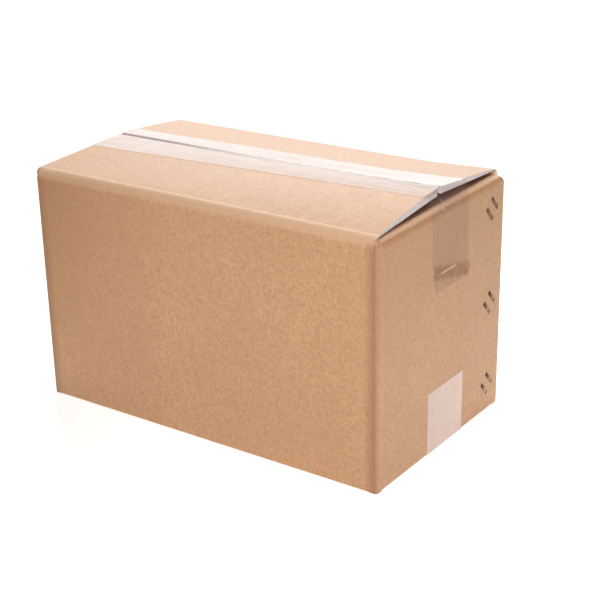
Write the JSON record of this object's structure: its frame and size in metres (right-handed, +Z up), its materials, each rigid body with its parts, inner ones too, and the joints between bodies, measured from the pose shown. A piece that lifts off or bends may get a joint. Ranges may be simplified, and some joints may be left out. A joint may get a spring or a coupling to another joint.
{
  "type": "taped cardboard parcel",
  "caption": "Closed corrugated carton with slightly lifted top flaps, sealed by clear tape along its seams, with a wire-stitched lap joint at one upright corner.",
  "frame": {"origin": "middle of the underside, where the bottom tape lies on the floor", "axes": "+X along the box, to the end wall with the stitches; +Y across it, to the far long wall; +Z up"},
  "size_m": [0.2706, 0.155, 0.1772],
  "materials": {
    "board": "matt kraft paper with fine fibres",
    "tape": "clear glossy film",
    "wire": "dull copper-coated steel"
  },
  "bodies": {
    "root": {"carton": "board", "top_tape": "tape", "bottom_tape": "tape", "stitches": "wire"}
  },
  "joints": []
}
